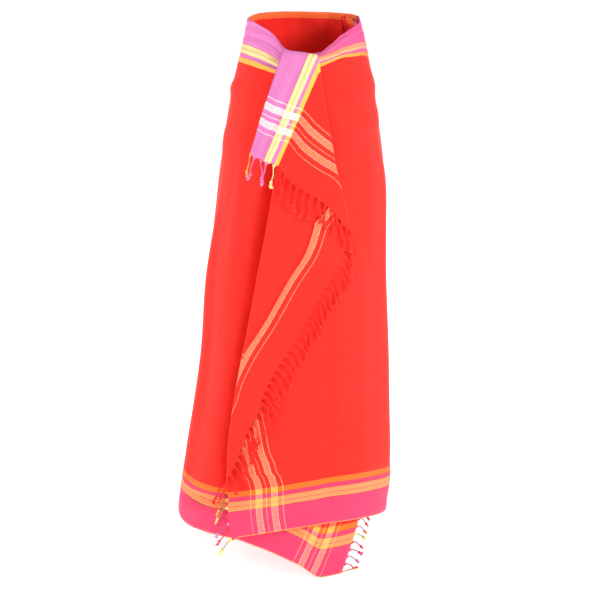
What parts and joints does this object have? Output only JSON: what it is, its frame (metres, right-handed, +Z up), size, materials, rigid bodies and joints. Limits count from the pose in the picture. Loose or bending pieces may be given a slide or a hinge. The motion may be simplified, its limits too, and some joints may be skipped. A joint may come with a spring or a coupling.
{
  "type": "kikoy",
  "caption": "Striped cotton kikoy with knotted fringed ends, wrapped and tied as a long skirt, its front corner turned back as a slanting lapel.",
  "frame": {"origin": "on the floor, under the middle of the part's outline", "axes": "+Z up from the hem to the waist, -Y towards the front with the slanting lapel, +X to the viewer's right"},
  "size_m": [0.4562, 0.3766, 1.1492],
  "materials": {
    "striped_cotton": "matte woven cotton, red with pink, orange and cream stripes",
    "fringe_yarn": "matte twisted cotton yarn"
  },
  "bodies": {
    "root": {"cloth": "striped_cotton", "outer_end_fringe": "fringe_yarn", "inner_end_fringe": "fringe_yarn"}
  },
  "joints": []
}
